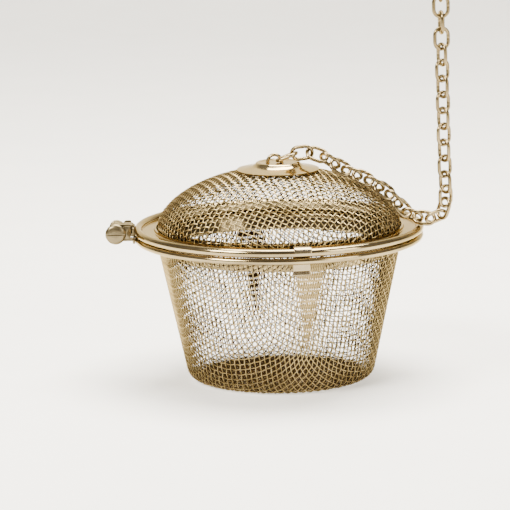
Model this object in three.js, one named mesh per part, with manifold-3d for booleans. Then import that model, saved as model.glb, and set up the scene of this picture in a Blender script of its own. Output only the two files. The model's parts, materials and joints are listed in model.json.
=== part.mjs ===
// A mesh tea infuser: a deep wire basket, a hinged domed wire lid with a spring catch, and a
// chain that runs from a staple on the lid's cap to a hook for the rim of a cup or pot.
// Millimetres, +Z up. The origin is the centre of the basket's flat underside. The hinge is on
// the -X side, the front is -Y, and the chain lies over the lid towards +X and then rises.
import * as THREE from "three";
import { mergeVertices } from "three/addons/utils/BufferGeometryUtils.js";
import Module from "manifold-3d";

const wasm = await Module();
wasm.setup();

// Driving dimensions
const GAP = 0.3; // clearance kept between pieces that rest on each other
const MESH_T = 0.6; // thickness of a woven wall, over the wires
const SHEET_T = 0.5; // thickness of the stamped rims and cap
const ROUND = 40; // sides of the large round pieces
const FLOOR_R = 21.4; // flat of the basket's underside
const CORNER_R = 3.2; // rounding between the underside and the wall
const WALL_SLOPE = 0.215; // how far the wall leans out for each mm of height
const MOUTH_Z = 36.8; // top edge of the basket's wall
const FLANGE_IN_R = 32.25; // inner edge of both rim flanges
const BASKET_FLANGE_Z = 37.3; // top face of the basket's flange
const BASKET_BEAD = { r: 36.5, z: 37.1, size: 0.8 };
const LEDGE_Z = 39.2; // top face of the lid's flange
const LID_BEAD = { r: 36.4, z: 39.25, size: 1.05 };
const DOME_R = 31.4;
const DOME_H = 14.3;
const DOME_POWER = 1.18; // 1 is an ellipse, and more lowers the dome's shoulders
const DOME_Z = 40.6; // height at which the dome's sides are upright
const DOME_FOOT_Z = 38.7;
const CAP_R = 11.2;
const CAP_TOP_R = 5.4;
const CAP_TOP_Z = 56.5;
const STAPLE = { left: -2.6, right: 1, top: 58.7, foot: 51.9, wire: 0.9 };
const HINGE = { x: -42.1, z: 39, outer: 2.2, bore: 1.35, pin: 1.05, head: 2.65 };
const KNUCKLE = { half: 1.6, start: 1.9, end: 4.5 }; // along the pin, from its middle
const CHEEK_T = 0.6; // thickness of the hinge's upright sides
const CATCH_ANGLE = THREE.MathUtils.degToRad(8.7); // from the front towards +X
const CATCH_WIDTH = 4.3;
const LINK = { width: 4.6, length: 6.3, wire: 0.95 };
const LINK_SLACK = 0.3; // free play between two links where the chain is drawn out
const DRAPE_SLACK = 1.2; // and where it lies in a heap over the lid and the rim
const DRAPED = { first: 3, last: 15 }; // links that lie so, counted from 0
const LINK_COUNT = 29;
const CHAIN_TURN = THREE.MathUtils.degToRad(-8); // from +X towards the front
const HOOK_WIRE = 1.4;

const STEEL = { color: 0xb9b4a6, roughness: 0.34, metalness: 1 };
const WIRE = { color: 0xa8a294, roughness: 0.45, metalness: 1 };
const CHAIN = { color: 0xaaa69b, roughness: 0.3, metalness: 1 };

const infuser = new THREE.Group();
const hanging = new THREE.Group(); // the chain and its hook, modelled over +X
hanging.rotation.z = CHAIN_TURN;
infuser.add(hanging);

function add(name, geometry, finish, group = infuser) {
  const mesh = new THREE.Mesh(geometry, new THREE.MeshStandardMaterial(finish));
  mesh.name = name;
  group.add(mesh);
  return mesh;
}

// Booleans

function toSolid(geometry) {
  const bare = geometry.clone();
  bare.deleteAttribute("normal");
  bare.deleteAttribute("uv");
  const merged = mergeVertices(bare, 1e-4);
  const vertProperties = new Float32Array(merged.attributes.position.array);
  const triVerts = new Uint32Array(merged.index.array);
  return new wasm.Manifold(new wasm.Mesh({ numProp: 3, vertProperties, triVerts }));
}

function toGeometry(solid) {
  const { vertProperties, triVerts } = solid.getMesh();
  const geometry = new THREE.BufferGeometry();
  geometry.setAttribute("position", new THREE.BufferAttribute(vertProperties, 3));
  geometry.setIndex(new THREE.BufferAttribute(triVerts, 1));
  geometry.computeVertexNormals();
  return geometry;
}

function cut(geometry, ...tools) {
  return toGeometry(tools.reduce((left, tool) => left.subtract(toSolid(tool)), toSolid(geometry)));
}

function join(...pieces) {
  return toGeometry(pieces.map(toSolid).reduce((whole, piece) => whole.add(piece)));
}

// Basic shapes

// A profile of [radius, height] points turned about the Z axis.
function turned(points, segments = ROUND) {
  const profile = points.map(([r, z]) => new THREE.Vector2(r, z));
  return new THREE.LatheGeometry(profile, segments).rotateX(Math.PI / 2);
}

// A closed profile, anticlockwise from the axis outwards, for a ring that doesn't reach the axis.
function turnedRing(points, segments = ROUND) {
  return turned([...points, points[0]], segments);
}

function arc(centreR, centreZ, size, fromDegrees, toDegrees, steps) {
  return Array.from({ length: steps + 1 }, (_, i) => {
    const angle = THREE.MathUtils.degToRad(fromDegrees + ((toDegrees - fromDegrees) * i) / steps);
    return [centreR + size * Math.cos(angle), centreZ + size * Math.sin(angle)];
  });
}

function band(innerR, outerR, lowZ, highZ, segments = ROUND) {
  return turnedRing([[innerR, lowZ], [outerR, lowZ], [outerR, highZ], [innerR, highZ]], segments);
}

function block(lowX, highX, lowY, highY, lowZ, highZ) {
  const size = [highX - lowX, highY - lowY, highZ - lowZ];
  return new THREE.BoxGeometry(...size)
    .translate((lowX + highX) / 2, (lowY + highY) / 2, (lowZ + highZ) / 2);
}

function post(x, y, radius, lowZ, highZ, sides = 16) {
  return new THREE.CylinderGeometry(radius, radius, highZ - lowZ, sides)
    .rotateX(Math.PI / 2)
    .translate(x, y, (lowZ + highZ) / 2);
}

// A wire along a smooth open curve through the given points.
function wire(points, thickness, steps, sides = 8) {
  const section = new THREE.Shape(
    Array.from({ length: sides }, (_, i) => {
      const angle = (2 * Math.PI * i) / sides;
      return new THREE.Vector2(Math.cos(angle), Math.sin(angle)).multiplyScalar(thickness / 2);
    }),
  );
  const path = new THREE.CatmullRomCurve3(points.map((p) => new THREE.Vector3(...p)));
  return new THREE.ExtrudeGeometry(section, { steps, extrudePath: path, bevelEnabled: false });
}

// Basket

const wallAngle = THREE.MathUtils.radToDeg(Math.atan(WALL_SLOPE));

// The basket's section for a corner of the given size, offset inwards by the thickness.
function basketSide(inset) {
  const size = CORNER_R - inset;
  const corner = arc(FLOOR_R, CORNER_R, size, -90, -wallAngle, 4);
  const [footR, footZ] = corner.at(-1);
  return [[0, inset], ...corner, [footR + WALL_SLOPE * (MOUTH_Z - footZ), MOUTH_Z]];
}

function wallRadius(z, inset = 0) {
  const [footR, footZ] = basketSide(inset).at(-2);
  return footR + WALL_SLOPE * (z - footZ);
}

function basketMesh() {
  return turned([...basketSide(0), ...basketSide(MESH_T).reverse()]);
}

// One stamped ring: a collar outside the wire wall, a flange, and an edge rolled into a bead.
function basketRim() {
  const { r, z, size } = BASKET_BEAD;
  const under = BASKET_FLANGE_Z - SHEET_T;
  const joinAngle = THREE.MathUtils.radToDeg(Math.asin((under - z) / size));
  const topAngle = THREE.MathUtils.radToDeg(Math.asin((BASKET_FLANGE_Z - z) / size));
  const collarR = FLANGE_IN_R + SHEET_T;
  return cut(
    turnedRing([
      [FLANGE_IN_R, under - 1.3],
      [collarR, under - 1.3],
      [collarR, under],
      ...arc(r, z, size, -180 - joinAngle, 180 - topAngle, 9),
      [FLANGE_IN_R, BASKET_FLANGE_Z],
    ]),
    catchSlot(33.6, 35.6, 5.5, 36, 38),
  );
}

// Lid

function domeSide(inset) {
  const quarter = Array.from({ length: 10 }, (_, i) => {
    const angle = (Math.PI / 2) * (i / 9);
    const rise = (DOME_H - inset) * Math.sin(angle) ** DOME_POWER;
    return [(DOME_R - inset) * Math.cos(angle), DOME_Z + rise];
  });
  quarter[9][0] = 0;
  return [[DOME_R - inset, DOME_FOOT_Z], ...quarter];
}

function lidMesh() {
  const shell = turned([...domeSide(MESH_T).reverse(), ...domeSide(0)]);
  return cut(shell, ...stapleHoles(53, 57));
}

function lidRim() {
  const { r, z, size } = LID_BEAD;
  const under = LEDGE_Z - SHEET_T;
  const lowAngle = THREE.MathUtils.radToDeg(Math.asin((under - z) / size));
  const topAngle = THREE.MathUtils.radToDeg(Math.asin((LEDGE_Z - z) / size));
  return cut(
    turnedRing([
      [FLANGE_IN_R - 0.5, under],
      ...arc(r, z, size, -180 - lowAngle, 180 - topAngle, 9),
      [FLANGE_IN_R, LEDGE_Z],
      [FLANGE_IN_R, LEDGE_Z + 0.7],
      [FLANGE_IN_R - 0.5, LEDGE_Z + 0.7],
    ]),
    catchSlot(34, 35.55, 5, 38, 41),
  );
}

// A bell-shaped cap with a rolled top edge round a shallow recess.
function lidCap() {
  const outside = [
    [0, CAP_TOP_Z - 0.3],
    [CAP_TOP_R - 1, CAP_TOP_Z - 0.3],
    [CAP_TOP_R - 0.6, CAP_TOP_Z],
    [CAP_TOP_R, CAP_TOP_Z - 0.1],
    [6.7, 55.35],
    [8.6, 54.95],
    [CAP_R, 54.5],
  ];
  const inside = [
    [CAP_R, 54.15],
    [8.6, 54.6],
    [6.3, 54.95],
    [CAP_TOP_R - 0.4, CAP_TOP_Z - 0.75],
    [0, CAP_TOP_Z - 0.75],
  ];
  return cut(turned([...inside.reverse(), ...outside.reverse()], 32), ...stapleHoles(55, 57));
}

function capWasher() {
  const disc = turned([[0, 53.1], [5, 53.1], [5, 53.6], [0, 53.6]], 24);
  return cut(disc, ...stapleHoles(52.5, 54.5));
}

function stapleHoles(lowZ, highZ) {
  const size = STAPLE.wire / 2 + GAP;
  return [STAPLE.left, STAPLE.right].map((x) => post(x, 0, size, lowZ, highZ));
}

// A wire arch through the cap, with its two ends turned out under the washer.
function chainStaple() {
  const { left, right, top, foot } = STAPLE;
  const middle = (left + right) / 2;
  const crown = top - STAPLE.wire / 2;
  return wire(
    [
      [left - 2, 0, foot],
      [left - 0.5, 0, foot + 0.05],
      [left, 0, foot + 0.9],
      [left, 0, 55],
      [left, 0, crown - 1.3],
      [left + 0.7, 0, crown - 0.25],
      [middle, 0, crown],
      [right - 0.7, 0, crown - 0.25],
      [right, 0, crown - 1.3],
      [right, 0, 55],
      [right, 0, foot + 0.9],
      [right + 0.5, 0, foot + 0.05],
      [right + 2, 0, foot],
    ],
    STAPLE.wire,
    36,
  );
}

// Hinge

function knuckle(fromY, toY) {
  const ring = new THREE.Shape().absarc(0, 0, HINGE.outer, 0, 2 * Math.PI);
  ring.holes.push(new THREE.Path().absarc(0, 0, HINGE.bore, 0, 2 * Math.PI, true));
  return new THREE.ExtrudeGeometry(ring, { depth: toY - fromY, bevelEnabled: false, curveSegments: 10 })
    .rotateX(Math.PI / 2)
    .translate(HINGE.x, toY, HINGE.z);
}

// A plate on the outside of the lid's bead, with one knuckle in the middle.
function lidHingeLeaf() {
  const { half } = KNUCKLE;
  return join(
    block(-38.4, -37.8, -3.5, 3.5, 38.35, 40.9),
    block(HINGE.x + 1.7, -38.1, -half, half, 39.5, 40.3),
    knuckle(-half, half),
  );
}

// A plate on the outside of the basket's bead, with a knuckle and an upright cheek at each end.
function basketHingeLeaf() {
  const { start, end } = KNUCKLE;
  const sides = [[start, end], [-end, -start]].flatMap(([low, high]) => [
    block(HINGE.x + 1, -38, low, high, 37, 37.8),
    knuckle(low, high),
  ]);
  const cheekIn = end - CHEEK_T;
  for (const [low, high] of [[cheekIn, end], [-end, -cheekIn]]) {
    sides.push(block(HINGE.x + 1.8, -38.2, low, high, 37.2, 41));
  }
  return join(block(-38.3, -37.7, -end, end, 35.6, 37.9), ...sides);
}

// A pin with a slotted round head in front and a peened end behind.
function hingePin() {
  const { end } = KNUCKLE;
  const profile = [
    [0, -end - 1.5],
    [1.5, -end - 1.4],
    [HINGE.head - 0.2, -end - 1],
    [HINGE.head, -end - GAP],
    [HINGE.pin, -end - GAP],
    [HINGE.pin, end + GAP],
    [2, end + GAP],
    [1.5, end + 0.9],
    [0, end + 1],
  ];
  const slot = block(-3, 3, -0.3, 0.3, -end - 2, -end - 0.9);
  return cut(turned(profile, 20), slot).rotateX(-Math.PI / 2).translate(HINGE.x, 0, HINGE.z);
}

// Catch

// Turns something modelled at the front, on -Y, round to the catch's place.
function atCatch(geometry) {
  return geometry.rotateZ(CATCH_ANGLE);
}

function catchSlot(innerR, outerR, width, lowZ, highZ) {
  return atCatch(block(-width / 2, width / 2, -outerR, -innerR, lowZ, highZ));
}

// A bent spring strip over the lid's bead, whose tongue drops through both flanges.
function lidCatch() {
  const outline = [
    [38.2, 39.1], [38.2, 40.35], [37.65, 41], [35, 41], [34.65, 40.7], [34.65, 34.4], [35, 33.2],
    [35.4, 33.3], [35.2, 34.5], [35.2, 40.55], [37.4, 40.6], [37.75, 40.2], [37.75, 39.1],
  ];
  const shape = new THREE.Shape(outline.map(([r, z]) => new THREE.Vector2(-r, z)));
  return atCatch(
    new THREE.ExtrudeGeometry(shape, { depth: CATCH_WIDTH, bevelEnabled: false })
      .rotateX(Math.PI / 2)
      .rotateZ(Math.PI / 2)
      .translate(-CATCH_WIDTH / 2, 0, 0),
  );
}

// Chain

// The route of the chain: out of the staple, down over the dome, across the rim and up.
const ROUTE = [
  [0.42, 57], [4.7, 58.6], [8.8, 59], [12.8, 57.3], [16.6, 54.8], [20.6, 53], [24.5, 51.1],
  [28.2, 48.6], [31.1, 45.65], [33.2, 43.35], [35.6, 42.4], [38.4, 41.85], [41, 41.95], [42.7, 43.6],
  [43.3, 46.4], [43.3, 50], [43.1, 56], [42.9, 66], [42.7, 78], [42.5, 92], [42.3, 108], [42.2, 116],
];

// How far apart the two ends of a link's play are.
function linkPitch(index) {
  const draped = index >= DRAPED.first && index <= DRAPED.last;
  return LINK.length - 2 * LINK.wire - (draped ? DRAPE_SLACK : LINK_SLACK);
}

// The points along the route where the links meet.
function chainJoints() {
  const route = new THREE.CatmullRomCurve3(ROUTE.map(([x, z]) => new THREE.Vector3(x, 0, z)));
  const fine = route.getSpacedPoints(4000);
  const joints = [fine[0]];
  for (const point of fine) {
    const placed = joints.length - 1;
    if (placed < LINK_COUNT && point.distanceTo(joints.at(-1)) >= linkPitch(placed)) {
      joints.push(point);
    }
  }
  return joints;
}

// How far each link is turned about the chain. The first lies flat and the last stands across the
// hook; between them they settle at 45 degrees to the surface that they lie on.
function linkRoll(index) {
  const settled = Math.min(1, index / 2, (LINK_COUNT - 1 - index) / 5);
  return THREE.MathUtils.degToRad(90 * index + 45 * settled);
}

function linkShape() {
  const ringR = (LINK.width - LINK.wire) / 2;
  const stretch = (LINK.length - LINK.width) / 2;
  const shape = new THREE.TorusGeometry(ringR, LINK.wire / 2, 6, 14);
  const spots = shape.attributes.position;
  for (let i = 0; i < spots.count; i += 1) {
    spots.setX(i, spots.getX(i) + Math.sign(spots.getX(i)) * stretch);
  }
  return shape;
}

function addChain() {
  const joints = chainJoints();
  const shape = linkShape();
  const across = new THREE.Vector3(0, 1, 0);
  for (let i = 0; i < LINK_COUNT; i += 1) {
    const along = joints[i + 1].clone().sub(joints[i]).normalize();
    const link = add(`chain_link_${String(i + 1).padStart(2, "0")}`, shape, CHAIN, hanging);
    const frame = new THREE.Matrix4().makeBasis(along, across, along.clone().cross(across));
    link.quaternion.setFromRotationMatrix(frame);
    link.rotateX(linkRoll(i));
    link.position.copy(joints[i]).add(joints[i + 1]).multiplyScalar(0.5);
  }
  return joints.at(-1);
}

// Hook: an eye that holds the last link, a shank, and a bend that goes over a rim.
function hangingHook(start) {
  const eyeR = 2.3;
  const { x } = start;
  const eyeZ = start.z + eyeR - HOOK_WIRE / 2 - LINK_SLACK / 2;
  const bendR = 4.2;
  const bendZ = eyeZ + 17;
  const eye = Array.from({ length: 11 }, (_, i) => {
    const angle = THREE.MathUtils.degToRad(60 - 31 * i);
    return [x + eyeR * Math.cos(angle), 0, eyeZ + eyeR * Math.sin(angle)];
  });
  const bend = Array.from({ length: 7 }, (_, i) => {
    const angle = Math.PI * (1 - i / 6);
    return [x + bendR + bendR * Math.cos(angle), 0, bendZ + bendR * Math.sin(angle)];
  });
  const tip = [[x + 2 * bendR, 0, bendZ - 6], [x + 2 * bendR + 0.5, 0, bendZ - 9],
    [x + 2 * bendR + 2.4, 0, bendZ - 11]];
  const shank = [[x - 0.4, 0, eyeZ + eyeR + 1.6], [x, 0, eyeZ + eyeR + 4], [x, 0, bendZ - 5]];
  return wire([...eye.slice(0, 10), ...shank, ...bend, ...tip], HOOK_WIRE, 70);
}

// Assembly

const bandTop = MOUTH_Z - 0.2;
const bandLow = 33.4;
add("basket_mesh", basketMesh(), WIRE);
add("basket_rim", basketRim(), STEEL);
add(
  "basket_clamp_band",
  turnedRing([
    [wallRadius(bandLow, MESH_T) - GAP - SHEET_T, bandLow],
    [wallRadius(bandLow, MESH_T) - GAP, bandLow],
    [wallRadius(bandTop, MESH_T) - GAP, bandTop],
    [wallRadius(bandTop, MESH_T) - GAP - SHEET_T, bandTop],
  ]),
  STEEL,
);
add("basket_hinge_leaf", basketHingeLeaf(), STEEL);
add("hinge_pin", hingePin(), STEEL);
add("lid_mesh", lidMesh(), WIRE);
add("lid_rim", lidRim(), STEEL);
add(
  "lid_clamp_band",
  band(DOME_R - MESH_T - GAP - SHEET_T, DOME_R - MESH_T - GAP, DOME_FOOT_Z, DOME_Z),
  STEEL,
);
add("lid_hinge_leaf", lidHingeLeaf(), STEEL);
add("lid_catch", lidCatch(), STEEL);
add("lid_cap", lidCap(), STEEL);
add("cap_washer", capWasher(), STEEL);
add("chain_staple", chainStaple(), CHAIN);
add("hanging_hook", hangingHook(addChain()), CHAIN, hanging);

export default infuser;
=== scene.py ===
"""A mesh tea infuser: the fine visual model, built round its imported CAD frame.

Lengths in this script are millimetres in the part's own frame, and MM turns them into metres
where a mesh is made. The origin is the centre of the basket's underside, the hinge is towards
-X, the front is -Y, and the chain lies over the lid towards +X and then rises.
"""
import json
import math

import bpy
import numpy as np
from mathutils import Matrix, Vector


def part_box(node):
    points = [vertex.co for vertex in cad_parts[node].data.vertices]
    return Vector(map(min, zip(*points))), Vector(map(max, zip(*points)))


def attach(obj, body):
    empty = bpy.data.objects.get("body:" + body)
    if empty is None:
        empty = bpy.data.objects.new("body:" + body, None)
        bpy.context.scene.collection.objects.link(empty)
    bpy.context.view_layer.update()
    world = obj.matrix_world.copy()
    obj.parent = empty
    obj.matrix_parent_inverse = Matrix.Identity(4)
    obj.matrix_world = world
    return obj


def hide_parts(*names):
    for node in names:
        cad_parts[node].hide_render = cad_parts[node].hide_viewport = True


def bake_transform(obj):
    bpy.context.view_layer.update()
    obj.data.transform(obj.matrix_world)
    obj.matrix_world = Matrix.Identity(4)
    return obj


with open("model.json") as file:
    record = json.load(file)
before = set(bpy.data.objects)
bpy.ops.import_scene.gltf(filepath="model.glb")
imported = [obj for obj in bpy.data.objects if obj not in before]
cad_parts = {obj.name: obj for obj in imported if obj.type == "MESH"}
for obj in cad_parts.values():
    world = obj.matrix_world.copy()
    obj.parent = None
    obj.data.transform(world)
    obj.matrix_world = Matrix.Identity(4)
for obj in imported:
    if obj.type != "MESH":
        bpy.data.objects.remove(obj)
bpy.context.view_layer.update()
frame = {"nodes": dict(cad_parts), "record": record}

MM = 0.001

# Camera: a long lens a little above the rim, rolled slightly
AIM = Vector((-6.3, 0, 32))
CAMERA_DISTANCE = 900
CAMERA_HEIGHT_ANGLE = 10.9
CAMERA_ROLL = 1.0
LENS = 245


def add_camera():
    lens = bpy.data.cameras.new("camera")
    lens.lens = LENS
    lens.clip_start = 0.01
    lens.clip_end = 20
    camera = bpy.data.objects.new("camera", lens)
    bpy.context.scene.collection.objects.link(camera)
    tilt = Matrix.Rotation(math.radians(90 - CAMERA_HEIGHT_ANGLE), 4, "X")
    roll = Matrix.Rotation(math.radians(-CAMERA_ROLL), 4, "Z")
    back = Matrix.Translation((0, 0, CAMERA_DISTANCE * MM))
    camera.matrix_world = Matrix.Translation(AIM * MM) @ tilt @ roll @ back
    bpy.context.scene.camera = camera


add_camera()

# Driving dimensions
WIRE = 0.33  # thickness of the woven wire
PITCH = 1.4  # distance between neighbouring wires
WEAVE_TURN = -31  # degrees from the front to a family of wires that runs straight up the wall
FLOOR_R = 21.4
CORNER_R = 3.2
WALL_SLOPE = 0.215
MOUTH_Z = 36.8
DOME_R = 31.4
DOME_H = 14.3
DOME_POWER = 1.22  # 1 is an ellipse, and more lowers the dome's shoulders
DOME_Z = 40.6
DOME_FOOT_Z = 38.7
SHEET = 0.45  # thickness of the stamped sheet
LID_FLANGE_Z = 38.95
LID_BEAD = (36.4, 39.2, 1.09)  # radius and height of the bead's centre, and its size
BASKET_FLANGE_Z = 37.05
BASKET_BEAD = (36.5, 37.14, 0.86)
STAPLE = {"left": -2.6, "right": 1.0, "top": 58.7, "foot": 51.9, "wire": 0.9}
CAP_TOP_Z = 56.5
WASHER_Z = 53.32
HINGE_X, HINGE_Z = -42.1, 39.0
KNUCKLE_R = 1.65  # to the middle of the rolled sheet
LEAF = 0.6  # thickness of the hinge leaves
LEAF_EDGE = 0.12  # how far their edges are rounded
PLATE_WRAP_R = 38.1  # how round their plates are, to fit the beads
KNUCKLE_HALF, KNUCKLE_START, KNUCKLE_END = 1.6, 1.9, 4.5
CATCH_ANGLE = 8.7
CATCH_WIDTH = 4.3
LINK = {"width": 4.6, "length": 6.3, "wire": 0.95}
CHAIN_TURN = -8  # degrees from +X to the plane that the chain hangs in
HOOK_WIRE = 1.4


# Curves and outlines, as lists of (x, y) points

def arc(centre, radius, start, end, steps=12):
    angles = np.radians(np.linspace(start, end, steps + 1))
    return [(centre[0] + radius * math.cos(a), centre[1] + radius * math.sin(a)) for a in angles]


def smooth(points, steps=6):
    """Points along a Catmull-Rom curve through the given ones."""
    p = np.array(points, float)
    p = np.vstack([2 * p[0] - p[1], p, 2 * p[-1] - p[-2]])
    out = []
    for a, b, c, d in zip(p, p[1:], p[2:], p[3:]):
        for t in np.arange(steps) / steps:
            curve = (2 * b + (c - a) * t + (2 * a - 5 * b + 4 * c - d) * t * t
                     + (3 * b - a - 3 * c + d) * t ** 3)
            out.append(tuple(curve / 2))
    out.append(tuple(p[-2]))
    return out


# Meshes

def new_piece(name, verts, faces, material, body, slot, replaced=(), sharp=35):
    """An object from millimetre vertices, which rides on a body and stands for CAD nodes."""
    mesh = bpy.data.meshes.new(name)
    mesh.from_pydata((np.asarray(verts, float) * MM).tolist(), [], faces)
    mesh.materials.append(material)
    mesh.shade_smooth()
    if sharp:
        mesh.set_sharp_from_angle(angle=math.radians(sharp))
    piece = bpy.data.objects.new(name, mesh)
    bpy.context.scene.collection.objects.link(piece)
    if body:
        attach(piece, body)
    if replaced:
        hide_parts(*replaced)
    return piece


def grid_faces(rows, columns, wrap_rows=False, wrap_columns=False, keep=None):
    """Quads over a grid of vertices, row by row."""
    faces = []
    for i in range(rows if wrap_rows else rows - 1):
        for j in range(columns if wrap_columns else columns - 1):
            if keep is None or keep(i, j):
                i2, j2 = (i + 1) % rows, (j + 1) % columns
                corners = (i, j), (i, j2), (i2, j2), (i2, j)
                faces.append(tuple(row * columns + column for row, column in corners))
    return faces


def revolve(path, segments=256):
    """A path of (radius, height) points turned about the Z axis. A first point on the axis
    closes the disc."""
    closed = path[0][0] == 0
    ring = path[1:] if closed else path
    turns = np.arange(segments) * 2 * math.pi / segments
    verts = [(r * math.cos(a), r * math.sin(a), z) for r, z in ring for a in turns]
    faces = grid_faces(len(ring), segments, wrap_columns=True)
    if closed:
        verts.append((0, 0, path[0][1]))
        centre = len(verts) - 1
        faces += [(centre, (k + 1) % segments, k) for k in range(segments)]
    return verts, faces


def tube(points, radius, sides=16):
    """A round bar along a path of 3-D points, with its ends closed."""
    p = np.array(points, float)
    t = np.gradient(p, axis=0)
    t /= np.linalg.norm(t, axis=1)[:, None]
    side = np.cross(t[0], (0, 1, 0) if abs(t[0][1]) < 0.9 else (1, 0, 0))
    verts = []
    for k in range(len(p)):
        side = side - t[k] * side.dot(t[k])
        side /= np.linalg.norm(side)
        other = np.cross(t[k], side)
        for a in np.arange(sides) * 2 * math.pi / sides:
            verts.append(p[k] + radius * (math.cos(a) * side + math.sin(a) * other))
    faces = grid_faces(len(p), sides, wrap_columns=True)
    faces.append(tuple(range(sides)))
    faces.append(tuple((len(p) - 1) * sides + k for k in reversed(range(sides))))
    return verts, faces


def thicken(piece, thickness, edge=0.08):
    solid = piece.modifiers.new("thickness", "SOLIDIFY")
    solid.thickness = thickness * MM
    solid.offset = 0
    if edge:
        bevel = piece.modifiers.new("edges", "BEVEL")
        bevel.width = edge * MM
        bevel.segments = 2
        bevel.limit_method = "ANGLE"
        bevel.angle_limit = math.radians(50)


def block(low, high):
    """Vertices and faces of a cutter with the given corners."""
    x, y, z = zip(low, high)
    verts = [(x[i], y[j], z[k]) for i in (0, 1) for j in (0, 1) for k in (0, 1)]
    faces = [(0, 1, 3, 2), (4, 6, 7, 5), (0, 4, 5, 1), (2, 3, 7, 6), (0, 2, 6, 4), (1, 5, 7, 3)]
    return verts, faces


def post(x, y, radius, low, high):
    return tube([(x, y, low), (x, y, (low + high) / 2), (x, y, high)], radius, sides=32)


def settle(piece):
    """Turns a piece's modifiers into mesh."""
    bpy.context.view_layer.update()
    shaped = piece.evaluated_get(bpy.context.evaluated_depsgraph_get())
    mesh = bpy.data.meshes.new_from_object(shaped)
    piece.modifiers.clear()
    piece.data = mesh


def carve(piece, *cutters):
    """Cuts the shapes out of a piece for good, after its modifiers."""
    for verts, faces in cutters:
        cutter = new_piece("cutter", verts, faces, piece.data.materials[0], None, None)
        cut = piece.modifiers.new("cut", "BOOLEAN")
        cut.operation = "DIFFERENCE"
        cut.object = cutter
        cut.solver = "EXACT"
        settle(piece)
        bpy.data.objects.remove(cutter)
    piece.data.shade_smooth()
    piece.data.set_sharp_from_angle(angle=math.radians(35))


def turn(verts, degrees):
    a = math.radians(degrees)
    c, s = math.cos(a), math.sin(a)
    return [(x * c - y * s, x * s + y * c, z) for x, y, z in verts]


# Materials

EDGE_TINT = (0.9, 0.78, 0.54, 1)  # of the steel's reflections at a grazing angle
BLOTCH = 60  # scale of the steel's uneven tone
MARK_DEPTH = 0.00002


def nodes_of(name):
    material = bpy.data.materials.new(name)
    material.use_nodes = True
    tree = material.node_tree
    shader = next(n for n in tree.nodes if n.type == "BSDF_PRINCIPLED")
    return material, tree, shader


def add_node(tree, kind, **values):
    """A node with its inputs set, or linked where the value is another node's output."""
    node = tree.nodes.new(kind)
    for key, value in values.items():
        if key in node.inputs:
            if isinstance(value, bpy.types.NodeSocket):
                tree.links.new(value, node.inputs[key])
            else:
                node.inputs[key].default_value = value
        else:
            setattr(node, key, value)
    return node


def ramp(tree, factor, stops):
    node = add_node(tree, "ShaderNodeValToRGB", Fac=factor)
    elements = node.color_ramp.elements
    while len(elements) < len(stops):
        elements.new(0.5)
    for element, (position, colour) in zip(elements, stops):
        element.position = position
        element.color = (*colour, 1)
    return node.outputs["Color"]


def patches_of(tree, place, scale, roughness):
    """Soft patches of uneven tone."""
    return add_node(tree, "ShaderNodeTexNoise", Vector=place, Scale=scale, Detail=6.0,
                    Roughness=roughness).outputs["Fac"]


def add_marks(tree, shader, height, strength):
    bump = add_node(tree, "ShaderNodeBump", Height=height, Strength=strength, Distance=MARK_DEPTH)
    tree.links.new(bump.outputs["Normal"], shader.inputs["Normal"])


def bare_metal(shader):
    shader.inputs["Metallic"].default_value = 1
    shader.inputs["Specular Tint"].default_value = EDGE_TINT


def steel(name, dark, light, roughness, turned=False, marks=0.2):
    """Bare steel with uneven tone and polish. Its fine marks are rings about the Z axis if it
    is turned, and a tumbled grain if it isn't."""
    material, tree, shader = nodes_of(name)
    place = add_node(tree, "ShaderNodeTexCoord").outputs["Object"]
    patches = patches_of(tree, place, BLOTCH, 0.6)
    colour = ramp(tree, patches, [(0.3, dark), (0.62, light)])
    tree.links.new(colour, shader.inputs["Base Color"])
    if turned:
        split = add_node(tree, "ShaderNodeSeparateXYZ", Vector=place)
        radius = add_node(tree, "ShaderNodeVectorMath", operation="LENGTH")
        flat = add_node(tree, "ShaderNodeCombineXYZ", X=split.outputs["X"], Y=split.outputs["Y"])
        tree.links.new(flat.outputs["Vector"], radius.inputs[0])
        along = add_node(tree, "ShaderNodeCombineXYZ", X=radius.outputs["Value"],
                         Y=split.outputs["Z"])
        grain = add_node(tree, "ShaderNodeTexNoise", Vector=along.outputs["Vector"],
                         Scale=5000.0, Detail=3.0)
    else:
        grain = add_node(tree, "ShaderNodeTexNoise", Vector=place, Scale=2500.0, Detail=4.0)
    wear = add_node(tree, "ShaderNodeTexNoise", Vector=place, Scale=BLOTCH * 5, Detail=8.0,
                    Roughness=0.7)
    polish = add_node(tree, "ShaderNodeMapRange", Value=wear.outputs["Fac"])
    polish.inputs["From Min"].default_value = 0.3
    polish.inputs["From Max"].default_value = 0.7
    polish.inputs["To Min"].default_value = roughness[0]
    polish.inputs["To Max"].default_value = roughness[1]
    tree.links.new(polish.outputs["Result"], shader.inputs["Roughness"])
    add_marks(tree, shader, grain.outputs["Fac"], marks)
    bare_metal(shader)
    return material


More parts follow.
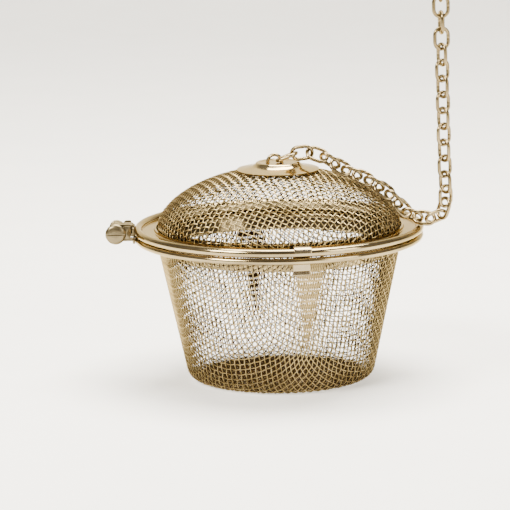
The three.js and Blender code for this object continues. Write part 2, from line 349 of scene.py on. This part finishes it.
def woven_steel(name, centre_z):
    """Drawn wire in its own tone outside, and near black on the sides that face inwards: painted
    shade for the dark inside of the basket and lid.
    """
    material, tree, shader = nodes_of(name)
    coordinates = add_node(tree, "ShaderNodeTexCoord")
    place = coordinates.outputs["Object"]
    patches = patches_of(tree, place, 110.0, 0.65)
    bright = ramp(tree, patches, [(0.3, (0.22, 0.16, 0.065)), (0.65, (0.5, 0.38, 0.18))])
    # painted shade: a near-black colour for the sides of the wires that face inwards
    painted_shade = ramp(tree, patches, [(0.3, (0.01, 0.005, 0.002)), (0.7, (0.035, 0.018, 0.007))])
    inside = add_node(tree, "ShaderNodeCombineXYZ", Z=centre_z * MM)
    outward = add_node(tree, "ShaderNodeVectorMath", operation="SUBTRACT")
    tree.links.new(place, outward.inputs[0])
    tree.links.new(inside.outputs["Vector"], outward.inputs[1])
    unit = add_node(tree, "ShaderNodeVectorMath", operation="NORMALIZE")
    tree.links.new(outward.outputs["Vector"], unit.inputs[0])
    facing = add_node(tree, "ShaderNodeVectorMath", operation="DOT_PRODUCT")
    tree.links.new(coordinates.outputs["Normal"], facing.inputs[0])
    tree.links.new(unit.outputs["Vector"], facing.inputs[1])
    # side is 1 where a wire faces outwards and 0 where it faces inwards and takes the painted
    # shade
    side = ramp(tree, facing.outputs["Value"], [(0.35, (0, 0, 0)), (0.8, (1, 1, 1))])
    colour = add_node(tree, "ShaderNodeMix", data_type="RGBA")
    tree.links.new(side, colour.inputs["Factor"])
    tree.links.new(painted_shade, colour.inputs[6])  # the colour at factor 0
    tree.links.new(bright, colour.inputs[7])  # the colour at factor 1
    tree.links.new(colour.outputs[2], shader.inputs["Base Color"])
    dull = add_node(tree, "ShaderNodeMapRange", Value=side)
    dull.inputs["To Min"].default_value = 0.55
    dull.inputs["To Max"].default_value = 0.3
    tree.links.new(dull.outputs["Result"], shader.inputs["Roughness"])
    drawn = add_node(tree, "ShaderNodeTexNoise", Vector=place, Scale=2200.0, Detail=3.0)
    add_marks(tree, shader, drawn.outputs["Fac"], 0.2)
    bare_metal(shader)
    return material


rim_steel = steel("rim_steel", (0.22, 0.17, 0.09), (0.37, 0.29, 0.16), (0.08, 0.18),
                  turned=True, marks=0.08)
pressed_steel = steel("pressed_steel", (0.31, 0.24, 0.12), (0.5, 0.395, 0.215), (0.08, 0.18),
                      turned=True, marks=0.1)
# painted shade: the hinge leaves, cheeks and pin get a much darker copy of the steel, for the
# shade that the hinge sits in
painted_shade_hinge_steel = steel("painted_shade_hinge_steel", (0.07, 0.056, 0.032), (0.21, 0.168, 0.096), (0.26, 0.44))
catch_steel = steel("catch_steel", (0.26, 0.205, 0.12), (0.42, 0.34, 0.21), (0.14, 0.28))
basket_wire = woven_steel("basket_wire", 25)
lid_wire = woven_steel("lid_wire", 34)
chain_metal = steel("chain_metal", (0.13, 0.095, 0.045), (0.32, 0.245, 0.13), (0.16, 0.32))


# Woven wire

class Drawn:
    """A surface of revolution that a flat disc of woven wire is drawn over, as a table of its
    radius, height and outward normal against the distance from its centre."""

    def __init__(self, profile):
        points = np.array(profile, float)
        steps = np.hypot(*np.diff(points, axis=0).T)
        self.s = np.concatenate([[0], np.cumsum(steps)])
        self.r, self.z = points.T
        tangent = np.gradient(points, self.s, axis=0)
        tangent /= np.linalg.norm(tangent, axis=1)[:, None]
        self.tr, self.tz = tangent.T

    def at(self, flat):
        """3-D points for flat (x, y) points, whose distance from 0 is kept along the surface."""
        flat = np.asarray(flat, float)
        s = np.linalg.norm(flat, axis=-1)
        way = flat / np.maximum(s, 1e-9)[..., None]
        r = np.interp(s, self.s, self.r)
        return np.concatenate([way * r[..., None], np.interp(s, self.s, self.z)[..., None]], -1)

    def normal(self, flat):
        s = np.linalg.norm(flat, axis=-1)
        way = flat / np.maximum(s, 1e-9)[..., None]
        tr, tz = np.interp(s, self.s, self.tr), np.interp(s, self.s, self.tz)
        normal = np.concatenate([way * tz[..., None], -tr[..., None]], -1)
        return normal / np.linalg.norm(normal, axis=-1)[..., None]


def crossing(surface, a, b, before, pitch):
    """The flat place that lies one pitch from both a and b on the surface, away from before."""
    q = a + b - before
    ends = surface.at(np.array([a, b]))
    step, longest_move = 1e-4, 0.6

    def gaps(flat):
        return np.sum((surface.at(flat) - ends) ** 2, axis=1) - pitch ** 2

    for _ in range(12):
        value = gaps(q)
        slope = np.array([gaps(q + (step, 0)) - value, gaps(q + (0, step)) - value]).T / step
        if abs(np.linalg.det(slope)) < 1e-3:
            break
        move = np.linalg.solve(slope, value)
        length = np.linalg.norm(move)
        q = q - move * min(1, longest_move / max(length, 1e-9))
        if length < 1e-6:
            break
    return q


def woven_net(surface, pitch, reach):
    """Every crossing of a plain weave drawn over the surface: wires don't stretch, so each
    crossing lies one pitch from its neighbours, and the squares shear between the meridians
    that the two middle wires run along. One quarter is worked out and then turned three times."""
    count = int(reach / pitch) + 2
    quarter = {(i, 0): np.array([i * pitch, 0.0]) for i in range(count)}
    for j in range(1, count):
        quarter[(0, j)] = np.array([0.0, j * pitch])
        for i in range(1, count):
            a, b = quarter[(i - 1, j)], quarter.get((i, j - 1))
            if b is None or min(np.linalg.norm(a), np.linalg.norm(b)) > reach + pitch:
                break
            quarter[(i, j)] = crossing(surface, a, b, quarter[(i - 1, j - 1)], pitch)
    net = {(0, 0): np.array([0.0, 0.0])}
    for (i, j), (x, y) in quarter.items():
        if i > 0:
            for _ in range(4):
                net[(i, j)] = np.array([x, y])
                i, j, x, y = -j, i, -y, x
    return net


def woven_wires(surface, net, along, reach, over, sides, rings):
    """The wires of one family, each waving over and under those that cross it. Sides are
    counted round a wire, and rings from one crossing to the next."""
    angle = math.radians(WEAVE_TURN)
    rotate = np.array([[math.cos(angle), math.sin(angle)], [-math.sin(angle), math.cos(angle)]])
    lines = {}
    for key in net:
        lines.setdefault(key[1 - along], []).append(key)
    verts, faces = [], []
    spread = (np.arange(sides) + 0.5) * 2 * math.pi / sides
    for line in sorted(lines):
        keys = sorted(lines[line], key=lambda key: key[along])
        flat = np.array([net[key] for key in keys]) @ rotate
        parity = np.array([(key[0] + key[1]) % 2 for key in keys])
        wave = np.where(parity == 0, over, -over)
        t = np.arange((len(keys) - 1) * rings + 1) / rings
        cell = np.minimum(t.astype(int), len(keys) - 2)
        part = t - cell
        path = flat[cell] * (1 - part)[:, None] + flat[cell + 1] * part[:, None]
        height = wave[cell] * np.cos(math.pi * part) * WIRE / 2
        inside = np.linalg.norm(path, axis=1) <= reach
        path, height = path[inside], height[inside]
        if len(path) < 2 * rings:
            continue
        normal = surface.normal(path)
        p = surface.at(path) + normal * height[:, None]
        tangent = np.gradient(p, axis=0)
        tangent /= np.linalg.norm(tangent, axis=1)[:, None]
        side = np.cross(normal, tangent)
        side /= np.linalg.norm(side, axis=1)[:, None]
        up = np.cross(tangent, side)
        ring = (p[:, None] + WIRE / 2 * (np.cos(spread)[None, :, None] * side[:, None]
                                         + np.sin(spread)[None, :, None] * up[:, None]))
        first = len(verts)
        verts.extend(ring.reshape(-1, 3).tolist())
        faces.extend(tuple(first + k for k in face)
                     for face in grid_faces(len(p), sides, wrap_columns=True))
        faces.append(tuple(first + k for k in reversed(range(sides))))
        faces.append(tuple(first + (len(p) - 1) * sides + k for k in range(sides)))
    return verts, faces


def add_weave(name, surface, reach, body, node, material, sides, rings):
    net = woven_net(surface, PITCH, reach)
    for family, along, over in ("warp", 0, 1), ("weft", 1, -1):
        verts, faces = woven_wires(surface, net, along, reach, over, sides, rings)
        new_piece(f"{name}_{family}", verts, faces, material, body, "woven_wire", [node], sharp=0)


def basket_profile():
    lean = math.degrees(math.atan(WALL_SLOPE))
    corner = arc((FLOOR_R, CORNER_R), CORNER_R - WIRE, -90, -lean, 30)
    floor = [(FLOOR_R * k / 40, WIRE) for k in range(40)]
    foot_r, foot_z = corner[-1]
    top = MOUTH_Z - 0.4
    wall = [(foot_r + WALL_SLOPE * h, foot_z + h) for h in np.linspace(0, top - foot_z, 60)[1:]]
    return floor + corner + wall


def dome_profile():
    width, height = DOME_R - WIRE, DOME_H - WIRE
    angles = np.radians(np.linspace(90, 0, 120))
    dome = [(width * math.cos(a), DOME_Z + height * math.sin(a) ** DOME_POWER) for a in angles]
    dome[0] = (0, DOME_Z + height)
    return dome + [(width, z) for z in np.linspace(DOME_Z, DOME_FOOT_Z + 0.1, 8)[1:]]


class Dome(Drawn):
    """The dome's normal points up and out, away from its profile's downward run."""

    def normal(self, flat):
        return -super().normal(flat)


def add_woven_pieces():
    basket = Drawn(basket_profile())
    add_weave("basket_weave", basket, basket.s[-1], "basket", "basket_mesh", basket_wire,
              sides=5, rings=3)
    dome = Dome(dome_profile())
    add_weave("lid_weave", dome, dome.s[-1], "lid", "lid_mesh", lid_wire, sides=6, rings=4)


# Rims and clamp bands

def rolled_edge(flange_z, bead):
    """From a flange, up over its bead and round under it."""
    bead_r, bead_z, size = bead
    roll = size - SHEET / 2
    fillet = 0.35
    joined_z = flange_z + fillet
    joined = 180 - math.degrees(math.asin((joined_z - bead_z) / roll))
    joined_r = bead_r + roll * math.cos(math.radians(joined))
    return (arc((joined_r - fillet, joined_z), fillet, 270, 360, 8)
            + arc((bead_r, bead_z), roll, joined, -125, 30)[1:])


def catch_slot(inner_r, outer_r, width, low, high):
    verts, faces = block((-width / 2, -outer_r, low), (width / 2, -inner_r, high))
    return turn(verts, CATCH_ANGLE), faces


def add_rims():
    bend = 0.5  # radius of the bend from the collar to the flange
    collar_r = 32.0
    path = ([(collar_r, 39.85), (collar_r, 39.7)]
            + arc((collar_r + bend, LID_FLANGE_Z + bend), bend, 180, 270, 8)
            + rolled_edge(LID_FLANGE_Z, LID_BEAD))
    rim = new_piece("lid_rim_rolled", *revolve(path), rim_steel, "lid", "stamped_steel",
                    ["lid_rim"])
    thicken(rim, SHEET, edge=0)
    carve(rim, catch_slot(34, 35.55, 5, 38, 41))
    collar_r = 32.5
    path = ([(collar_r, 35.55), (collar_r, 36.1)]
            + arc((collar_r + bend, BASKET_FLANGE_Z - bend), bend, 180, 90, 8)
            + rolled_edge(BASKET_FLANGE_Z, BASKET_BEAD))
    rim = new_piece("basket_rim_rolled", *revolve(path), rim_steel, "basket", "stamped_steel",
                    ["basket_rim"])
    thicken(rim, SHEET, edge=0)
    carve(rim, catch_slot(33.6, 35.6, 5.5, 36, 38))


def add_clamp_bands():
    """The two bands inside the meshes, with their edges turned in a little."""
    thick, edge, segments = 0.4, 0.3, 192
    low, high = 33.4, MOUTH_Z - 0.2
    outer_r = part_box("basket_clamp_band")[1].x / MM - 0.25
    low_r, high_r = outer_r - WALL_SLOPE * (high - low), outer_r
    path = smooth([(low_r - 0.12, low), (low_r, low + edge), (high_r, high - edge),
                   (high_r - 0.1, high)], 5)
    band = new_piece("basket_clamp", *revolve(path, segments), rim_steel, "basket",
                     "stamped_steel", ["basket_clamp_band"])
    thicken(band, thick, edge=0)
    radius = DOME_R - 1.15
    path = smooth([(radius - 0.1, DOME_FOOT_Z), (radius, DOME_FOOT_Z + edge),
                   (radius, DOME_Z - edge), (radius - 0.1, DOME_Z)], 5)
    band = new_piece("lid_clamp", *revolve(path, segments), rim_steel, "lid", "stamped_steel",
                     ["lid_clamp_band"])
    thicken(band, thick, edge=0)


# Hinge

def strip(path, across, keep):
    """A sheet strip that follows a path of (x, z) points, reaches over the given y places and
    bends round the Z axis, as a plate on a round bead does."""
    verts = []
    for x, z in path:
        for y in across:
            verts.append((x + PLATE_WRAP_R - math.sqrt(PLATE_WRAP_R ** 2 - y ** 2), y, z))
    return verts, grid_faces(len(path), len(across), keep=keep)


def drop_loose(piece):
    """Deletes vertices that no face uses."""
    used = set()
    for polygon in piece.data.polygons:
        used.update(polygon.vertices)
    if len(used) < len(piece.data.vertices):
        kept = sorted(used)
        place = {old: new for new, old in enumerate(kept)}
        verts = [tuple(piece.data.vertices[k].co) for k in kept]
        faces = [tuple(place[k] for k in p.vertices) for p in piece.data.polygons]
        mesh = bpy.data.meshes.new(piece.name)
        mesh.from_pydata(verts, [], faces)
        mesh.materials.append(piece.data.materials[0])
        mesh.shade_smooth()
        mesh.set_sharp_from_angle(angle=math.radians(35))
        piece.data = mesh


def add_leaf(name, node, body, plate, bent_z, roll, across, knuckles):
    """A plate on a bead, bent over at bent_z towards the pin, with strips that roll round it.

    plate is its x, the z that it starts at and its rows of vertices. roll is the angles at the
    two ends of the roll, and knuckles says which strips between the across places have one."""
    plate_x, plate_z, rows = plate
    bend = 0.5
    column = [(plate_x, z) for z in np.linspace(plate_z, bent_z - bend, rows)]
    corner = arc((plate_x - bend, bent_z - bend), bend, 0, 90, 5)[1:]
    path = column + corner + arc((HINGE_X, HINGE_Z), KNUCKLE_R, *roll, 30)
    sheet = strip(path, across, lambda i, j: i < rows - 1 or j in knuckles)
    leaf = new_piece(name, *sheet, painted_shade_hinge_steel, body, "stamped_steel", [node])
    drop_loose(leaf)
    thicken(leaf, LEAF, edge=LEAF_EDGE)


def add_cheeks():
    """Two upright plates at the ends of the basket's leaf."""
    front, back, low, round_r = -38.25, -40.35, 37.4, 0.5
    outline = ([(front, low), (front, 40.5)] + arc((front - round_r, 40.45), round_r, 0, 90, 5)
               + [(-39.8, 40.95), (back, 40.4), (back, low)])
    verts, faces = [], []
    for y in (KNUCKLE_END - LEAF / 2, -KNUCKLE_END + LEAF / 2):
        faces.append(tuple(range(len(verts), len(verts) + len(outline))))
        verts += [(x, y, z) for x, z in outline]
    cheeks = new_piece("basket_leaf_cheeks", verts, faces, painted_shade_hinge_steel, "basket",
                       "stamped_steel", ["basket_hinge_leaf"])
    thicken(cheeks, LEAF - 0.05, edge=LEAF_EDGE)


def add_hinge_leaves():
    half = [0.8, KNUCKLE_HALF, 2.3, 3, 3.5]
    across = [-y for y in reversed(half)] + [0] + half
    add_leaf("lid_leaf", "lid_hinge_leaf", "lid", (-37.78, 38.45, 6), HINGE_Z + KNUCKLE_R,
             (90, 375), across, range(3, 7))
    half = [0.8, KNUCKLE_START, 2.7, 3.6, KNUCKLE_END]
    across = [-y for y in reversed(half)] + half
    add_leaf("basket_leaf", "basket_hinge_leaf", "basket", (-37.65, 36.3, 5),
             HINGE_Z - KNUCKLE_R, (-90, -375), across, (0, 1, 2, 6, 7, 8))
    add_cheeks()


def add_hinge_pin():
    """The pin, with a slotted head in front and an end that is peened over behind."""
    end, head, pin = KNUCKLE_END, 2.65, 1.05
    segments, slot = 64, 0.22
    front = smooth([(1.2, -end - 1.48), (2.0, -end - 1.3), (2.45, -end - 1.0),
                    (head, -end - 0.65)], 5)
    neck = [(head - 0.05, -end - 0.35), (pin + 0.1, -end - 0.3), (pin, -end - 0.2)]
    rear = smooth([(pin, end + 0.3), (1.7, end + 0.35), (1.95, end + 0.6), (1.5, end + 0.9),
                   (0.8, end + 1)], 5)
    profile = [(0, -end - 1.5)] + front + neck + rear
    verts, faces = revolve(profile, segments)
    last = len(profile) - 2
    faces.append(tuple(last * segments + k for k in range(segments)))
    verts = [(HINGE_X + x, z, HINGE_Z - y) for x, y, z in verts]
    piece = new_piece("pin", verts, faces, painted_shade_hinge_steel, "basket", "stamped_steel", ["hinge_pin"])
    carve(piece, block((HINGE_X - 3, -end - 2, HINGE_Z - slot),
                       (HINGE_X + 3, -end - 1, HINGE_Z + slot)))


# Catch

def add_catch():
    """A spring strip that hugs the lid's bead and drops a tongue through both rims."""
    bead_r, bead_z, size = LID_BEAD
    thick, clear, bend, tongue_r = 0.42, 0.06, 0.35, 34.92
    over = arc((bead_r, bead_z), size + clear + thick / 2, 0, 97, 14)
    top = over[-1][1]
    shoulder = [(tongue_r + 0.55, top)] + arc((tongue_r + bend, top - bend), bend, 90, 180, 6)
    tongue = smooth([(tongue_r, 39.5), (tongue_r, 34.7), (tongue_r + 0.13, 34.2),
                     (tongue_r + 0.28, 33.3)], 5)
    path = over + shoulder + tongue
    across = np.linspace(-CATCH_WIDTH / 2, CATCH_WIDTH / 2, 9)
    verts = [(y, -r, z) for r, z in path for y in across]
    faces = grid_faces(len(path), len(across))
    piece = new_piece("catch_spring", turn(verts, CATCH_ANGLE), faces, catch_steel, None, None,
                      ["lid_catch"])
    thicken(piece, thick, edge=0.1)
    settle(piece)
    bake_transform(piece)


# Cap, washer and staple

def staple_holes(low, high):
    size = STAPLE["wire"] / 2 + 0.15
    return [post(x, 0, size, low, high) for x in (STAPLE["left"], STAPLE["right"])]


def add_cap():
    recess = CAP_TOP_Z - 0.5
    path = [(0, recess)] + smooth([(1.5, recess), (4.1, recess), (4.75, recess + 0.12),
                                   (5.2, CAP_TOP_Z - 0.22), (5.6, CAP_TOP_Z - 0.38),
                                   (5.95, 55.72), (6.7, 55.2), (8.2, 54.86), (9.6, 54.64),
                                   (10.6, 54.45)], 6)
    cap = new_piece("cap", *revolve(path, 160), pressed_steel, "lid", "stamped_steel",
                    ["lid_cap"])
    thicken(cap, 0.32, edge=0)
    carve(cap, *staple_holes(55, 57))
    path = [(0, WASHER_Z)] + smooth([(1.5, WASHER_Z), (4.3, WASHER_Z + 0.04),
                                     (4.85, WASHER_Z + 0.18)], 5)
    washer = new_piece("washer", *revolve(path, 96), pressed_steel, "lid", "stamped_steel",
                       ["cap_washer"])
    thicken(washer, 0.4, edge=0)
    carve(washer, *staple_holes(52.5, 54.5))


def add_staple():
    left, right, top, foot = (STAPLE[k] for k in ("left", "right", "top", "foot"))
    crown = top - STAPLE["wire"] / 2
    middle, half = (left + right) / 2, (right - left) / 2
    arch = [(middle - half * math.cos(a), 0, crown - half + half * math.sin(a))
            for a in np.radians(np.linspace(0, 180, 17))]
    lead = smooth([(left - 2, 0, foot), (left - 0.6, 0, foot + 0.1), (left, 0, foot + 0.9),
                   (left, 0, 55), (left, 0, crown - half)], 6)[:-1]
    tail = smooth([(right, 0, crown - half), (right, 0, 55), (right, 0, foot + 0.9),
                   (right + 0.6, 0, foot + 0.1), (right + 2, 0, foot)], 6)[1:]
    new_piece("staple", *tube(lead + arch + tail, STAPLE["wire"] / 2, 16), chain_metal, "lid",
              "chain_steel", ["chain_staple"])


# Chain and hook

def link_mesh():
    """One link about the origin, long in X and flat in Z, with the joint where its ends meet."""
    ring = (LINK["width"] - LINK["wire"]) / 2
    stretch = (LINK["length"] - LINK["width"]) / 2
    right = [(stretch + ring * math.cos(a), ring * math.sin(a)) for a in
             np.radians(np.linspace(-90, 90, 17))]
    left = [(-x, -y) for x, y in right]
    straight = [(x, ring) for x in (0.5, 0.1, 0.05, 0, -0.05, -0.1, -0.5)]
    middle = right + straight + left + [(0, -ring)]
    seam = {0.05: 0.96, 0: 0.84, -0.05: 0.96}
    radii = [LINK["wire"] / 2 * (seam.get(x, 1) if y == ring else 1) for x, y in middle]
    points = [Vector((x, y, 0)) for x, y in middle]
    count, sides = len(points), 14
    verts = []
    for k, point in enumerate(points):
        ahead = (points[(k + 1) % count] - points[k - 1]).normalized()
        out = ahead.cross(Vector((0, 0, 1)))
        for a in np.arange(sides) * 2 * math.pi / sides:
            verts.append(point + radii[k] * (math.cos(a) * out + math.sin(a) * Vector((0, 0, 1))))
    faces = grid_faces(count, sides, wrap_rows=True, wrap_columns=True)
    return np.array(verts), faces


def cad_place(node):
    """Where a link lies: its centre, and its length, width and thickness directions."""
    spots = np.array([v.co for v in frame["nodes"][node].data.vertices])
    spots = np.unique(np.round(spots, 7), axis=0)
    centre = (spots.max(0) + spots.min(0)) / 2
    _, axes = np.linalg.eigh(np.cov((spots - spots.mean(0)).T))
    along, across = axes[:, 2], axes[:, 1]
    return centre / MM, np.column_stack([along, across, np.cross(along, across)])


def add_chain():
    shape, faces = link_mesh()
    for body, members in frame["record"]["behaviour"]["bodies"].items():
        for node in members:
            if node.startswith("chain_link"):
                centre, axes = cad_place(node)
                new_piece(node.replace("chain_link", "link"), shape @ axes.T + centre, faces,
                          chain_metal, body, "chain_steel", [node], sharp=0)


def add_hook():
    eye_r, bend_r = 2.3, 4.2
    last = [node for node in frame["nodes"] if node.startswith("chain_link")][-1]
    centre, _ = cad_place(last)
    x = math.hypot(centre[0], centre[1])
    eye_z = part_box("hanging_hook")[0].z / MM + eye_r + HOOK_WIRE / 2
    bend_z = eye_z + 17
    eye = [(x + eye_r * math.cos(a), 0, eye_z + eye_r * math.sin(a))
           for a in np.radians(60 - 31 * np.arange(10))]
    bend = [(x + bend_r - bend_r * math.cos(a), 0, bend_z + bend_r * math.sin(a))
            for a in np.linspace(0, math.pi, 7)]
    shank = [(x - 0.4, 0, eye_z + eye_r + 1.6), (x, 0, eye_z + eye_r + 4), (x, 0, bend_z - 5)]
    tip = [(x + 2 * bend_r, 0, bend_z - 6), (x + 2 * bend_r + 0.5, 0, bend_z - 9),
           (x + 2 * bend_r + 2.4, 0, bend_z - 11)]
    verts, faces = tube(smooth(eye + shank + bend + tip, 8), HOOK_WIRE / 2, 18)
    new_piece("hook_wire", turn(verts, CHAIN_TURN), faces, chain_metal, "hook", "chain_steel",
              ["hanging_hook"])


# Floor and light

def add_floor():
    """A pale sheet that curves up behind."""
    material, tree, shader = nodes_of("floor_paper")
    place = add_node(tree, "ShaderNodeTexCoord").outputs["Object"]
    fibre = add_node(tree, "ShaderNodeTexNoise", Vector=place, Scale=40.0, Detail=5.0)
    tones = [(0.3, (0.92, 0.91, 0.88)), (0.7, (0.945, 0.935, 0.905))]
    tone = ramp(tree, fibre.outputs["Fac"], tones)
    tree.links.new(tone, shader.inputs["Base Color"])
    shader.inputs["Roughness"].default_value = 0.7
    depth, bend, half_width = -0.05, 600.05, 2500
    path = ([(-1500, depth), (500, depth)] + arc((700, bend + depth), bend, -90, -5, 24)
            + [(1350, 1800)])
    verts = [(x, y, z) for y, z in path for x in (-half_width, half_width)]
    floor = new_piece("floor", verts, grid_faces(len(path), 2), material, None, None, sharp=0)


def add_softbox(name, place, size, power, colour=(1, 1, 1), aim=(0, 0, 40)):
    light = bpy.data.lights.new(name, "AREA")
    light.shape = "RECTANGLE"
    light.size, light.size_y = (edge * MM for edge in size)
    light.energy = power
    light.color = colour
    lamp = bpy.data.objects.new(name, light)
    bpy.context.scene.collection.objects.link(lamp)
    lamp.location = Vector(place) * MM
    lamp.rotation_euler = (Vector(place) - Vector(aim)).to_track_quat("Z", "Y").to_euler()


def add_lights():
    world = bpy.data.worlds.new("studio")
    world.use_nodes = True
    background = next(n for n in world.node_tree.nodes if n.type == "BACKGROUND")
    background.inputs["Color"].default_value = (1.0, 0.92, 0.8, 1)
    background.inputs["Strength"].default_value = 0.34
    bpy.context.scene.world = world
    add_softbox("key", (-420, -380, 520), (300, 220), 11, (1, 0.95, 0.86))
    add_softbox("fill", (520, -420, 260), (300, 400), 3.5, (1, 0.95, 0.86))
    add_softbox("top", (60, 120, 620), (520, 400), 21, (1, 0.955, 0.87))
    add_softbox("backdrop", (0, 700, 900), (1600, 500), 14, (1, 0.96, 0.88),
                aim=(0, 1300, 500))


add_woven_pieces()
add_rims()
add_clamp_bands()
add_hinge_leaves()
add_hinge_pin()
add_catch()
add_cap()
add_staple()
add_chain()
add_hook()
add_floor()
add_lights()
